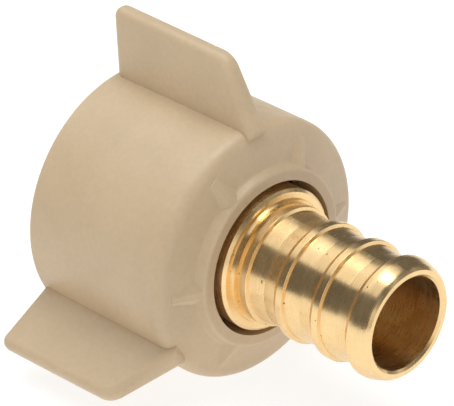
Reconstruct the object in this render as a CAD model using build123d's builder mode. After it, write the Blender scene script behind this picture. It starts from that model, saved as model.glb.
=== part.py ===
from build123d import *

import os
from math import radians, sin, tan

# Pipe adapter: a brass barbed stem held loosely in a winged plastic swivel nut, with a flat rubber washer.
# The common axis is X and the barb points along +X. X is 0 at the front face of the nut's boss, and the
# nut opens towards -X. One of the three wings points straight up, along +Z. All sizes are in millimetres.

os.makedirs("parts", exist_ok=True)

# Winged nut, outside
nut_length = 20.4
rim_radius = 13.85
skirt_front_radius = 13.8
shoulder_slope = 15.0
shoulder_round = 1.4
boss_radius = 9.4
boss_foot_radius = 9.75
boss_height = 1.0
boss_round = 0.45
boss_foot_round = 0.4
stem_hole_radius = 8.2

# Winged nut, inside
ledge_depth = 4.0
relief_radius = 11.15
mouth_radius = 11.6

# Internal thread: one ridge wound along a helix, with 30 degree flanks and a flat crest
thread_minor_radius = 10.2
thread_major_radius = 11.1
thread_pitch = 25.4 / 14
thread_start_depth = 9.8
thread_turns = 4.5
thread_flank = 30.0
thread_crest_share = 0.31
thread_bite = 0.15
thread_trim = 0.05

# Wings: plates on planes through the axis, thinner towards their outer edges
wing_count = 3
wing_rear_radius = 21.2
wing_rear_start = 0.4
wing_rear_lean = 0.4
wing_front_radius = 20.85
wing_front_corner = -5.1
wing_foot_sink = 1.4
wing_root_thickness = 2.3
wing_tip_thickness = 1.8
wing_rear_round = 1.0
wing_front_round = 2.3
wing_edge_round = 0.8
wing_nose = 0.75
wing_nose_sink = 0.1
wing_nose_undercut = 0.1
wing_nose_round = 0.8
wing_edge_gap = 0.9
wing_edge_turn = 0.2

# Small gussets between the boss and the shoulder, 30 degrees either side of each wing
gusset_count = 6
gusset_start_radius = 9.2
gusset_foot_width = 3.1
gusset_crest_width = 0.8
gusset_reach = 12.3
gusset_drop = 0.1
gusset_tip_width = 1.1
gusset_tip_crest = 0.5
gusset_tip_height = 0.14
gusset_sink = 0.6

# Brass stem: bore, flange inside the nut, collar through the nut's hole, and a short neck
bore_radius = 4.85
bore_chamfer = 0.25
flange_radius = 9.9
flange_front = -4.6
flange_thickness = 1.8
flange_chamfer = 0.2
collar_radius = 7.5
collar_front = 0.64
collar_chamfer = 0.3
step_radius = 6.6
step_length = 0.4
step_slope = 0.1
neck_radius = 6.15

# Barb: each rib is a short rise and a flat land that ends in a sharp step, facing the tip, with a long
# shallow groove before the next rib. The tip is a rounded head as thick as the ribs.
barb_length = 17.95
rib_radius = 6.3
groove_rear_radius = 5.95
groove_radius = 5.74
groove_front_radius = 5.78
groove_middle = 2.0
rib_count = 3
first_crest = 2.4
rib_pitch = 4.75
rib_land = 0.75
rib_rise = 0.65
step_fall = 0.12
crest_round = 0.06
head_land_start = 15.75
head_land_end = 16.35
head_nose_x = 17.55
head_nose_radius = 5.92
tip_radius = 5.58
head_round = 1.5
tip_round = 0.7

# Rubber washer, small enough to drop in past the thread
washer_radius = 10.0
washer_hole_radius = 6.2
washer_front = -6.8
washer_thickness = 2.6
washer_edge_round = 0.25

tolerance = 0.01


def outward(angle):
    """Direction square to the X axis, at this angle in degrees from +Z."""
    return Vector(0, 0, 1).rotate(Axis.X, angle)


def radius_at(edge):
    """Distance of an edge's middle from the X axis."""
    middle = edge @ 0.5
    return (middle.Y**2 + middle.Z**2) ** 0.5


def rings(part, radius, start=-nut_length, end=barb_length):
    """Round edges of a part that have this radius, with X between start and end."""
    circles = part.edges().filter_by(GeomType.CIRCLE).filter_by_position(Axis.X, start, end)
    return circles.filter_by(lambda edge: abs(edge.radius - radius) < tolerance)


# Wings, rounded at their corners
shoulder_rise = tan(radians(shoulder_slope))
shoulder_x = -boss_height - (skirt_front_radius - boss_foot_radius) * shoulder_rise
wing_foot_radius = rim_radius - wing_foot_sink
wing_planes = [
    Plane((0, 0, 0), x_dir=(1, 0, 0), z_dir=Vector(1, 0, 0).cross(outward(360 / wing_count * index)))
    for index in range(wing_count)
]
# the tip of a wing's front end is cut back to an arc that touches the wing's front edge and its underside
nose = Vector(shoulder_x + wing_nose, skirt_front_radius - wing_nose_sink)
under_end = Vector(shoulder_x - wing_nose_undercut, wing_foot_radius)
front_edge = (Vector(wing_front_corner, wing_front_radius) - nose).normalized()
under_edge = (under_end - nose).normalized()
nose_half_angle = radians(front_edge.get_angle(under_edge) / 2)
nose_inward = (front_edge + under_edge).normalized()
nose_reach = wing_nose_round / tan(nose_half_angle)
# a wing's two outer corners: distance from the axis and rounding
wing_corners = ((wing_front_radius, wing_front_round), (wing_rear_radius, wing_rear_round))

with BuildPart() as wings:
    with BuildSketch(*wing_planes) as outline:
        with BuildLine():
            Polyline(
                (-nut_length, wing_foot_radius),
                (-nut_length, rim_radius + wing_rear_start),
                (-nut_length - wing_rear_lean, wing_rear_radius),
                (wing_front_corner, wing_front_radius),
                (nose.X, nose.Y),
                (under_end.X, under_end.Y),
                close=True,
            )
        make_face()
        for height, corner_round in wing_corners:
            corners = outline.vertices().filter_by(lambda corner: abs(corner.Y - height) < tolerance)
            fillet(corners, corner_round)
    extrude(amount=wing_root_thickness, both=True)
    # a star of tapered arms, seen along X, trims the three plates to their thickness
    with BuildSketch(Plane.YZ.offset(-nut_length - wing_rear_lean)):
        with PolarLocations(0, wing_count, start_angle=90):
            Polygon(
                (0, -wing_root_thickness / 2),
                (rim_radius, -wing_root_thickness / 2),
                (wing_rear_radius, -wing_tip_thickness / 2),
                (wing_rear_radius, wing_tip_thickness / 2),
                (rim_radius, wing_root_thickness / 2),
                (0, wing_root_thickness / 2),
                align=None,
            )
    extrude(amount=nut_length + wing_rear_lean, mode=Mode.INTERSECT)


# Nut: a cup with a thick front wall, a low boss round the stem hole and a thread near the mouth
thread_depth = thread_major_radius - thread_minor_radius
crest_half = thread_pitch * thread_crest_share / 2
foot_half = crest_half + thread_depth * tan(radians(thread_flank))
thread_start = Vector(-thread_start_depth - foot_half, 0, 0)
gusset_tip_x = -boss_height - (gusset_reach - boss_foot_radius) * shoulder_rise
# a gusset's two ends: distance from the axis, foot width, crest width, x at the foot, height of the crest
gusset_height = boss_height - gusset_drop
gusset_ends = (
    (gusset_start_radius, gusset_foot_width, gusset_crest_width, -boss_height, gusset_height),
    (gusset_reach, gusset_tip_width, gusset_tip_crest, gusset_tip_x, gusset_tip_height),
)

with BuildPart() as swivel_nut:
    with BuildSketch(Plane.XZ):
        with BuildLine():
            Polyline(
                (0, stem_hole_radius),
                (0, boss_radius),
                (-boss_height, boss_foot_radius),
                (shoulder_x, skirt_front_radius),
                (-nut_length, rim_radius),
                (-nut_length, mouth_radius),
                (mouth_radius - relief_radius - nut_length, relief_radius),
                (-ledge_depth, relief_radius),
                (-ledge_depth, stem_hole_radius),
                close=True,
            )
        make_face()
    revolve(axis=Axis.X)
    fillet(rings(swivel_nut, skirt_front_radius), shoulder_round)
    fillet(rings(swivel_nut, boss_radius), boss_round)
    fillet(rings(swivel_nut, boss_foot_radius), boss_foot_round)
    # the wings meet the skirt in a crisp line, and their outline is well rounded but for its rear
    add(wings.part)
    wing_edges = swivel_nut.edges().filter_by(lambda edge: radius_at(edge) > rim_radius + wing_edge_gap)
    fillet(wing_edges.filter_by(lambda edge: abs((edge % 0.5).X) > wing_edge_turn), wing_edge_round)
    # each wing's front end is blunt where it meets the shoulder
    with BuildSketch(*wing_planes):
        touch_points = (nose + front_edge * nose_reach, nose + under_edge * nose_reach)
        Polygon(touch_points[0], nose - nose_inward, touch_points[1], align=None)
        with Locations(nose + nose_inward * wing_nose_round / sin(nose_half_angle)):
            Circle(wing_nose_round, mode=Mode.SUBTRACT)
    extrude(amount=wing_root_thickness, both=True, mode=Mode.SUBTRACT)
    # each gusset is a little roof that slopes from the boss down to a blunt end on the shoulder
    for index in range(gusset_count):
        out = outward(360 / gusset_count * (index + 0.5))
        for radius, foot, crest, foot_x, height in gusset_ends:
            side = [(foot_x + height, crest / 2), (foot_x, foot / 2), (foot_x - gusset_sink, foot / 2)]
            other_side = [(x, -y) for x, y in reversed(side)]
            with BuildSketch(Plane(out * radius, x_dir=(1, 0, 0), z_dir=out)):
                Polygon(*side, *other_side, align=None)
        loft(ruled=True)
    with BuildLine() as thread_path:
        Helix(
            thread_pitch,
            thread_pitch * thread_turns,
            thread_major_radius,
            center=tuple(thread_start),
            direction=(-1, 0, 0),
        )
    path_start = thread_path.line @ 0
    with BuildSketch(Plane(path_start, x_dir=path_start - thread_start, z_dir=thread_path.line % 0)):
        Polygon(
            (thread_bite, -foot_half),
            (thread_bite, foot_half),
            (0, foot_half),
            (-thread_depth - thread_trim, crest_half),
            (-thread_depth - thread_trim, -crest_half),
            (0, -foot_half),
            align=None,
        )
    sweep(path=thread_path.line, is_frenet=True)
    # the crest is trimmed to a true cylinder
    with BuildSketch(Plane.YZ.offset(-nut_length)):
        Circle(thread_minor_radius)
    extrude(amount=nut_length - ledge_depth, mode=Mode.SUBTRACT)


# Brass stem, turned in one piece
flange_rear = flange_front - flange_thickness
barb_start = collar_front + step_length
crests = [first_crest + rib_pitch * index for index in range(rib_count)]
lands = [crest - rib_land for crest in crests] + [head_land_start]

with BuildPart() as barb_stem:
    with BuildSketch(Plane.XZ):
        with BuildLine():
            rib_line = []
            for crest, next_land in zip(crests, lands[1:]):
                rib_line += [
                    (crest - rib_land, rib_radius),
                    (crest, rib_radius),
                    (crest + step_fall, groove_rear_radius),
                    (crest + groove_middle, groove_radius),
                    (next_land - rib_rise, groove_front_radius),
                ]
            Polyline(
                (flange_rear, bore_radius),
                (flange_rear, flange_radius),
                (flange_front, flange_radius),
                (flange_front, collar_radius),
                (collar_front, collar_radius),
                (collar_front, step_radius),
                (barb_start, step_radius - step_slope),
                (barb_start, neck_radius),
                *rib_line,
                (head_land_start, rib_radius),
                (head_land_end, rib_radius),
                (head_nose_x, head_nose_radius),
                (barb_length, tip_radius),
                (barb_length, bore_radius),
                close=True,
            )
        make_face()
    revolve(axis=Axis.X)
    fillet(rings(barb_stem, rib_radius, start=head_land_start + tolerance), head_round)
    fillet(rings(barb_stem, head_nose_radius, start=head_land_end), tip_round)
    fillet(rings(barb_stem, rib_radius, end=head_land_start - tolerance), crest_round)
    chamfer(rings(barb_stem, bore_radius), bore_chamfer)
    chamfer(rings(barb_stem, flange_radius), flange_chamfer)
    chamfer(rings(barb_stem, collar_radius, start=0), collar_chamfer)


# Flat rubber washer behind the flange
with BuildPart() as sealing_washer:
    with BuildSketch(Plane.YZ.offset(washer_front)):
        Circle(washer_radius)
        Circle(washer_hole_radius, mode=Mode.SUBTRACT)
    extrude(amount=-washer_thickness)
    fillet(sealing_washer.edges().filter_by(GeomType.CIRCLE), washer_edge_round)

swivel_nut.part.label = "swivel_nut"
barb_stem.part.label = "barb_stem"
sealing_washer.part.label = "sealing_washer"
export_step(swivel_nut.part, "parts/swivel_nut.step")
export_step(barb_stem.part, "parts/barb_stem.step")
export_step(sealing_washer.part, "parts/sealing_washer.step")
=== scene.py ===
import math

import bpy
from mathutils import Matrix, Vector


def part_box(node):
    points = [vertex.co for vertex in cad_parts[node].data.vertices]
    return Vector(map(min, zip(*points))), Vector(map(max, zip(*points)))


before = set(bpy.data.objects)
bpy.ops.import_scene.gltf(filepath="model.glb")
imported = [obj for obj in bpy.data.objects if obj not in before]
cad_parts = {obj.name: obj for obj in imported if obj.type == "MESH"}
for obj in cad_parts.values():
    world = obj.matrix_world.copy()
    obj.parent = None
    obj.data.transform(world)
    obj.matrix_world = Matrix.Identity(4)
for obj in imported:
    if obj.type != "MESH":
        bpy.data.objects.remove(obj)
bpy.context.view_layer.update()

# Looks of the winged swivel adapter: materials for its three pieces, a pale floor, soft lights and a camera.
# Everything is in metres in the part's own frame: the common axis is X, the barb points along +X, +Z is up.

MM = 0.001

# Plastic: how far red, green and blue light travel inside it
PLASTIC_IOR = 1.56
PLASTIC_DEPTH_WEIGHT = 0.06
PLASTIC_LIGHT_REACH = (1.8 * MM, 1.2 * MM, 0.8 * MM)

# Brass: streaks are drawn out round the axis, and a pit is darker than the metal round it
STREAK_STRETCH = (1.0, 0.07, 0.07)
STREAK_WEIGHT = 1.4
SHINE_SHARE = 0.42
PIT_COLOUR = (0.34, 0.22, 0.11, 1.0)
BRASS_ANISOTROPY = 0.75
QUARTER_TURN = 0.25


def node_tree(material):
    """The material's emptied node tree, and a function that adds a node with settings or input values."""
    material.use_nodes = True
    tree = material.node_tree
    tree.nodes.clear()

    def add(kind, **settings):
        node = tree.nodes.new(kind)
        for name, value in settings.items():
            if hasattr(node, name):
                setattr(node, name, value)
            else:
                node.inputs[name.replace("_", " ").title()].default_value = value
        return node

    return tree, add


def ramp(add, stops):
    """A colour ramp with these two stops, each a position and a grey or a colour."""
    node = add("ShaderNodeValToRGB")
    for element, (position, value) in zip(node.color_ramp.elements, stops):
        element.position = position
        element.color = (*value, 1.0) if isinstance(value, tuple) else (value, value, value, 1.0)
    return node


def nut_plastic():
    """Matte tan moulded plastic: faint cloudy colour, fine mould grain, a soft satin sheen."""
    material = bpy.data.materials.new("nut_plastic_look")
    tree, add = node_tree(material)
    link = tree.links.new
    place = add("ShaderNodeTexCoord")
    cloud = add("ShaderNodeTexNoise", scale=160.0, detail=3.0, roughness=0.55)
    tint = ramp(add, ((0.3, (0.575, 0.430, 0.268)), (0.7, (0.622, 0.470, 0.296))))
    speckle = add("ShaderNodeTexNoise", scale=1900.0, detail=3.0, roughness=0.6)
    shade = ramp(add, ((0.3, 0.93), (0.7, 1.0)))
    colour = add("ShaderNodeMix", data_type="RGBA", blend_type="MULTIPLY")
    colour.inputs["Factor"].default_value = 1.0
    grain = add("ShaderNodeTexNoise", scale=9000.0, detail=2.0, roughness=0.6)
    peel = add("ShaderNodeTexNoise", scale=900.0, detail=2.0, roughness=0.5)
    shine = ramp(add, ((0.3, 0.38), (0.7, 0.50)))
    fine = add("ShaderNodeBump", strength=0.25, distance=0.000012)
    broad = add("ShaderNodeBump", strength=0.3, distance=0.00003)
    shader = add("ShaderNodeBsdfPrincipled")
    output = add("ShaderNodeOutputMaterial")
    for texture in (cloud, speckle, grain, peel):
        link(place.outputs["Object"], texture.inputs["Vector"])
    link(cloud.outputs["Fac"], tint.inputs["Fac"])
    link(speckle.outputs["Fac"], shade.inputs["Fac"])
    link(tint.outputs["Color"], colour.inputs["A"])
    link(shade.outputs["Color"], colour.inputs["B"])
    link(peel.outputs["Fac"], shine.inputs["Fac"])
    link(peel.outputs["Fac"], broad.inputs["Height"])
    link(grain.outputs["Fac"], fine.inputs["Height"])
    link(broad.outputs["Normal"], fine.inputs["Normal"])
    link(fine.outputs["Normal"], shader.inputs["Normal"])
    link(colour.outputs["Result"], shader.inputs["Base Color"])
    link(shine.outputs["Color"], shader.inputs["Roughness"])
    shader.inputs["IOR"].default_value = PLASTIC_IOR
    shader.inputs["Subsurface Weight"].default_value = PLASTIC_DEPTH_WEIGHT
    shader.inputs["Subsurface Radius"].default_value = PLASTIC_LIGHT_REACH
    shader.inputs["Subsurface Scale"].default_value = 1.0
    link(shader.outputs["BSDF"], output.inputs["Surface"])
    return material


def brass():
    """Turned brass: fine streaks round the axis, a few dark pits, reflections drawn out along the axis."""
    material = bpy.data.materials.new("brass_look")
    tree, add = node_tree(material)
    link = tree.links.new
    place = add("ShaderNodeTexCoord")
    split = add("ShaderNodeSeparateXYZ")
    away = add("ShaderNodeCombineXYZ")
    radius = add("ShaderNodeVectorMath", operation="LENGTH")
    along = add("ShaderNodeMath", operation="ADD")
    turned = add("ShaderNodeTexNoise", noise_dimensions="1D", scale=6500.0, detail=3.0, roughness=0.6)
    # streaks a fraction of a millimetre wide and a few millimetres long, laid round the axis
    stretch = add("ShaderNodeMapping")
    stretch.inputs["Scale"].default_value = STREAK_STRETCH
    streak = add("ShaderNodeTexNoise", scale=5200.0, detail=4.0, roughness=0.65)
    cloud = add("ShaderNodeTexNoise", scale=420.0, detail=4.0, roughness=0.6)
    pits = add("ShaderNodeTexNoise", scale=2600.0, detail=1.0, roughness=0.4)
    pit_mask = ramp(add, ((0.75, 0.0), (0.80, 1.0)))
    colour = ramp(add, ((0.3, (0.86, 0.60, 0.29)), (0.7, (0.96, 0.70, 0.37))))
    worn = add("ShaderNodeMix", data_type="RGBA")
    mixed = add("ShaderNodeMath", operation="MULTIPLY_ADD")
    drift = add("ShaderNodeMath", operation="MULTIPLY")
    shine = ramp(add, ((0.30, 0.18), (0.72, 0.40)))
    lines = add("ShaderNodeBump", strength=0.4, distance=0.000005)
    ragged = add("ShaderNodeBump", strength=0.4, distance=0.000006)
    dents = add("ShaderNodeBump", strength=0.8, distance=0.00003)
    around = add("ShaderNodeTangent", direction_type="RADIAL", axis="X")
    shader = add("ShaderNodeBsdfPrincipled")
    output = add("ShaderNodeOutputMaterial")
    link(place.outputs["Object"], split.inputs["Vector"])
    link(split.outputs["Y"], away.inputs["Y"])
    link(split.outputs["Z"], away.inputs["Z"])
    link(away.outputs["Vector"], radius.inputs[0])
    link(split.outputs["X"], along.inputs[0])
    link(radius.outputs["Value"], along.inputs[1])
    link(along.outputs["Value"], turned.inputs["W"])
    for placed in (stretch, cloud, pits):
        link(place.outputs["Object"], placed.inputs["Vector"])
    link(stretch.outputs["Vector"], streak.inputs["Vector"])
    link(pits.outputs["Fac"], pit_mask.inputs["Fac"])
    link(cloud.outputs["Fac"], colour.inputs["Fac"])
    link(pit_mask.outputs["Color"], worn.inputs["Factor"])
    link(colour.outputs["Color"], worn.inputs["A"])
    worn.inputs["B"].default_value = PIT_COLOUR
    # roughness follows the streaks, with a slower drift over the surface
    link(streak.outputs["Fac"], mixed.inputs[0])
    link(cloud.outputs["Fac"], mixed.inputs[2])
    mixed.inputs[1].default_value = STREAK_WEIGHT
    drift.inputs[1].default_value = SHINE_SHARE
    link(mixed.outputs["Value"], drift.inputs[0])
    link(drift.outputs["Value"], shine.inputs["Fac"])
    link(pit_mask.outputs["Color"], dents.inputs["Height"])
    dents.invert = True
    link(streak.outputs["Fac"], ragged.inputs["Height"])
    link(dents.outputs["Normal"], ragged.inputs["Normal"])
    link(turned.outputs["Fac"], lines.inputs["Height"])
    link(ragged.outputs["Normal"], lines.inputs["Normal"])
    link(lines.outputs["Normal"], shader.inputs["Normal"])
    link(worn.outputs["Result"], shader.inputs["Base Color"])
    link(shine.outputs["Color"], shader.inputs["Roughness"])
    link(around.outputs["Tangent"], shader.inputs["Tangent"])
    shader.inputs["Metallic"].default_value = 1.0
    shader.inputs["Anisotropic"].default_value = BRASS_ANISOTROPY
    shader.inputs["Anisotropic Rotation"].default_value = QUARTER_TURN
    link(shader.outputs["BSDF"], output.inputs["Surface"])
    return material


def washer_rubber():
    """Dark grey rubber with a dusty bloom."""
    material = bpy.data.materials.new("washer_rubber_look")
    tree, add = node_tree(material)
    link = tree.links.new
    place = add("ShaderNodeTexCoord")
    dust = add("ShaderNodeTexNoise", scale=700.0, detail=5.0, roughness=0.65)
    colour = ramp(add, ((0.35, (0.022, 0.022, 0.023)), (0.75, (0.060, 0.058, 0.055))))
    shine = ramp(add, ((0.3, 0.62), (0.7, 0.85)))
    bump = add("ShaderNodeBump", strength=0.4, distance=0.00003)
    shader = add("ShaderNodeBsdfPrincipled")
    output = add("ShaderNodeOutputMaterial")
    link(place.outputs["Object"], dust.inputs["Vector"])
    link(dust.outputs["Fac"], colour.inputs["Fac"])
    link(dust.outputs["Fac"], shine.inputs["Fac"])
    link(dust.outputs["Fac"], bump.inputs["Height"])
    link(bump.outputs["Normal"], shader.inputs["Normal"])
    link(colour.outputs["Color"], shader.inputs["Base Color"])
    link(shine.outputs["Color"], shader.inputs["Roughness"])
    link(shader.outputs["BSDF"], output.inputs["Surface"])
    return material


LOOKS = {"swivel_nut": nut_plastic(), "barb_stem": brass(), "sealing_washer": washer_rubber()}
for name, look in LOOKS.items():
    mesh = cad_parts[name].data
    for index in range(len(mesh.materials)):
        mesh.materials[index] = look

# Stage: a pale floor a hair below the nut's lowest point at rest
FLOOR_SIZE = 3.0
FLOOR_GAP = 0.02 * MM
FLOOR_COLOUR = (0.30, 0.30, 0.298, 1.0)
FLOOR_GLOW = (1.0, 1.0, 0.995, 1.0)
FLOOR_GLOW_STRENGTH = 0.80
nut_low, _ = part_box("swivel_nut")
floor_mesh = bpy.data.meshes.new("floor")
half = FLOOR_SIZE / 2
floor_corners = [(-half, -half, 0), (half, -half, 0), (half, half, 0), (-half, half, 0)]
floor_mesh.from_pydata(floor_corners, [], [(0, 1, 2, 3)])
floor = bpy.data.objects.new("floor", floor_mesh)
bpy.context.scene.collection.objects.link(floor)
floor.location.z = nut_low.z - FLOOR_GAP
floor_look = bpy.data.materials.new("floor_look")
floor_tree, floor_add = node_tree(floor_look)
floor_shader = floor_add("ShaderNodeBsdfPrincipled")
floor_shader.inputs["Base Color"].default_value = FLOOR_COLOUR
floor_shader.inputs["Emission Color"].default_value = FLOOR_GLOW
floor_shader.inputs["Emission Strength"].default_value = FLOOR_GLOW_STRENGTH
floor_shader.inputs["Roughness"].default_value = 0.9
floor_shader.inputs["Specular IOR Level"].default_value = 0.1
floor_output = floor_add("ShaderNodeOutputMaterial")
floor_tree.links.new(floor_shader.outputs["BSDF"], floor_output.inputs["Surface"])
floor_mesh.materials.append(floor_look)


def softbox(name, centre, size, radiance, colour=(1.0, 1.0, 1.0), mirrored=True):
    """A rectangular soft light, evenly bright and facing down; the surfaces may mirror it or not."""
    data = bpy.data.lights.new(name, "AREA")
    data.shape = "RECTANGLE"
    data.size, data.size_y = size
    data.energy = radiance * math.pi * size[0] * size[1]
    data.color = colour
    light = bpy.data.objects.new(name, data)
    bpy.context.scene.collection.objects.link(light)
    light.location = centre
    light.visible_camera = False
    light.visible_glossy = mirrored
    return light


# Lights: overhead, a wide panel towards the nut's open end, a cool one below it and a hotter, smaller one
# over the barb; lower down, three turned to face the object, from its far side, near side and barb end
PANEL_HEIGHT = 0.40
PANEL_CENTRE = (-0.45 * PANEL_HEIGHT, 0.0, PANEL_HEIGHT)
PANEL_SIZE = (1.3 * PANEL_HEIGHT, 1.25 * PANEL_HEIGHT)
CORE_CENTRE = (0.12 * PANEL_HEIGHT, 0.05, PANEL_HEIGHT - 0.01)
CORE_SIZE = (0.6 * PANEL_HEIGHT, 0.35 * PANEL_HEIGHT)
COOL = (0.94, 1.0, 1.06)
WARM = (1.0, 0.97, 0.93)
softbox("panel", centre=PANEL_CENTRE, size=PANEL_SIZE, radiance=1.0)
softbox("haze", centre=(-0.12, -0.02, 0.3), size=(0.4, 0.4), radiance=1.3, colour=COOL, mirrored=False)
softbox("core", centre=CORE_CENTRE, size=CORE_SIZE, radiance=3.4)
turned_lights = (
    softbox("fill", centre=(0.35, 0.35, 0.08), size=(0.35, 0.35), radiance=0.8),
    softbox("side", centre=(0.05, -0.45, 0.10), size=(0.6, 0.4), radiance=0.8, colour=WARM, mirrored=False),
    softbox("front", centre=(0.42, -0.16, 0.02), size=(0.4, 0.4), radiance=1.0, colour=WARM),
)
for light in turned_lights:
    light.rotation_euler = (-light.location).to_track_quat("-Z", "Y").to_euler()

# A dim grey surrounding for the brass to mirror where no light is
WORLD_GREY = (0.14, 0.14, 0.14, 1.0)
world = bpy.data.worlds.new("world")
bpy.context.scene.world = world
world.use_nodes = True
world.node_tree.nodes["Background"].inputs["Color"].default_value = WORLD_GREY
world.node_tree.nodes["Background"].inputs["Strength"].default_value = 1.0

# Camera: long lens, above and to the side of the barb
AZIMUTH = math.radians(45.84)
ELEVATION = math.radians(30.52)
ROLL = math.radians(-1.91)
DISTANCE = 296.6 * MM
TARGET = Vector((-5.12, -1.05, 4.77)) * MM
LENS = 237.9
SENSOR_WIDTH = 36.0
NEAREST = 0.01
FARTHEST = 10.0
level = math.cos(ELEVATION)
back = Vector((math.sin(AZIMUTH) * level, -math.cos(AZIMUTH) * level, math.sin(ELEVATION)))
right = Vector((math.cos(AZIMUTH), math.sin(AZIMUTH), 0.0))
up = back.cross(right)
right_rolled = right * math.cos(ROLL) + up * math.sin(ROLL)
up_rolled = up * math.cos(ROLL) - right * math.sin(ROLL)
camera_data = bpy.data.cameras.new("camera")
camera_data.lens = LENS
camera_data.sensor_width = SENSOR_WIDTH
camera_data.clip_start = NEAREST
camera_data.clip_end = FARTHEST
camera = bpy.data.objects.new("camera", camera_data)
bpy.context.scene.collection.objects.link(camera)
turn = Matrix((right_rolled, up_rolled, back)).transposed().to_4x4()
camera.matrix_world = Matrix.Translation(TARGET + back * DISTANCE) @ turn
bpy.context.scene.camera = camera
bpy.context.scene.view_settings.view_transform = "Standard"
